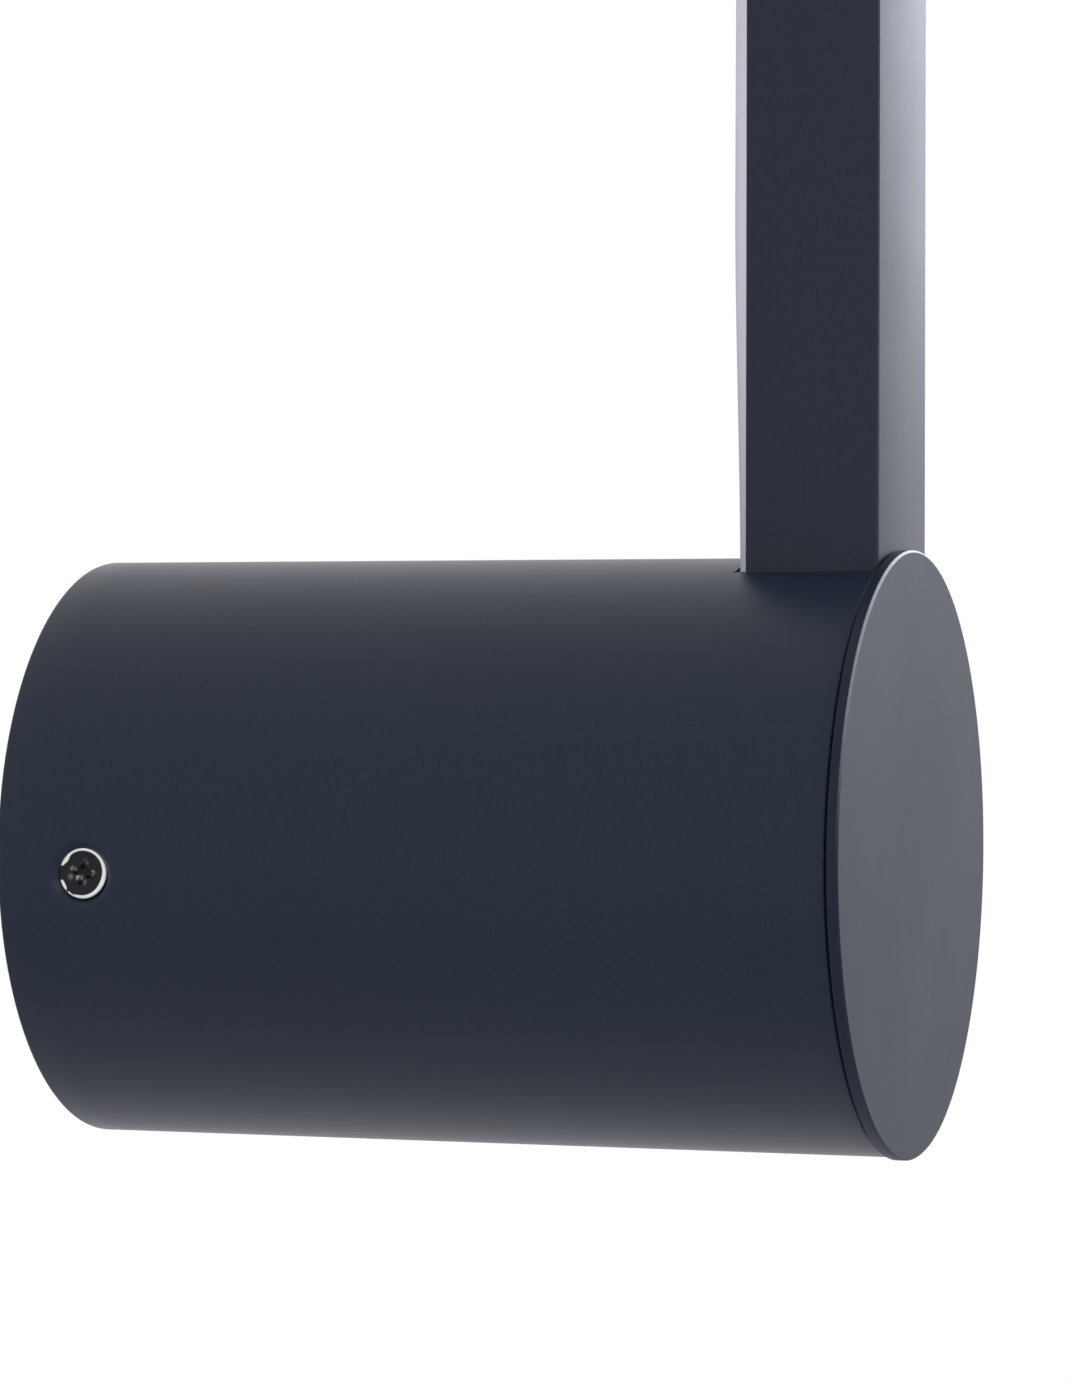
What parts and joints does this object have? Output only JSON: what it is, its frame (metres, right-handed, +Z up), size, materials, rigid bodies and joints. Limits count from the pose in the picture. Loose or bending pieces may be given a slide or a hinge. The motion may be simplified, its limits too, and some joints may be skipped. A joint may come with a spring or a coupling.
{
  "type": "wall light",
  "caption": "Black wall light: a short cylinder stands off the wall, closed by a thin disc cap, and carries an upright rectangular light bar whose opal back faces the wall.",
  "frame": {"origin": "centre of the wall plate's back face, on the cylinder's axis, in the wall's plane", "axes": "+Y into the wall along the cylinder's axis, +Z up along the light bar, +X to the right seen from the room"},
  "size_m": [0.063, 0.09, 0.433],
  "materials": {
    "black_coat": "satin black powder coat on aluminium",
    "black_screw": "blackened steel, bright where worn",
    "opal": "opal diffusing plastic, satin",
    "tape_grey": "thermal tape",
    "board_white": "white solder mask",
    "led_yellow": "phosphor under clear resin",
    "bare_aluminium": "bare milled aluminium",
    "zinc_steel": "zinc plated steel",
    "black_rubber": "matt black rubber",
    "white_plastic": "moulded plastic",
    "brass": "plain brass",
    "tinned_brass": "tinned brass",
    "board_green": "green solder mask",
    "ferrite": "dark moulded case",
    "lead_red": "silicone sleeve",
    "lead_black": "silicone sleeve",
    "lead_brown": "silicone sleeve",
    "lead_blue": "silicone sleeve",
    "lead_green": "silicone sleeve, green with yellow"
  },
  "bodies": {
    "root": {"body_tube": "black_coat", "front_cap": "black_coat", "side_screws": "black_screw", "bar_profile": "black_coat", "bar_diffuser": "opal", "thermal_tape": "tape_grey", "led_board": "board_white", "led_chips": "led_yellow", "bar_end_cap": "black_coat", "end_cap_screws": "black_screw", "foot_block": "bare_aluminium", "foot_front_screws": "zinc_steel", "foot_rear_screws": "zinc_steel", "carrier_plate": "bare_aluminium", "cap_screws": "zinc_steel", "lead_grommet": "black_rubber", "wall_plate": "bare_aluminium", "supply_grommet": "black_rubber", "terminal_block": "white_plastic", "terminal_barrels": "brass", "terminal_clamps": "zinc_steel", "terminal_fixing_screws": "zinc_steel", "earth_tag": "tinned_brass", "earth_screw": "brass", "driver_tray": "zinc_steel", "tray_screws": "zinc_steel", "driver_screws": "zinc_steel", "driver_case": "white_plastic", "driver_lid": "white_plastic", "driver_board": "board_green", "driver_transformer": "ferrite", "driver_capacitors": "ferrite", "led_lead_positive": "lead_red", "led_lead_negative": "lead_black", "live_lead": "lead_brown", "neutral_lead": "lead_blue", "earth_lead": "lead_green"}
  },
  "joints": []
}
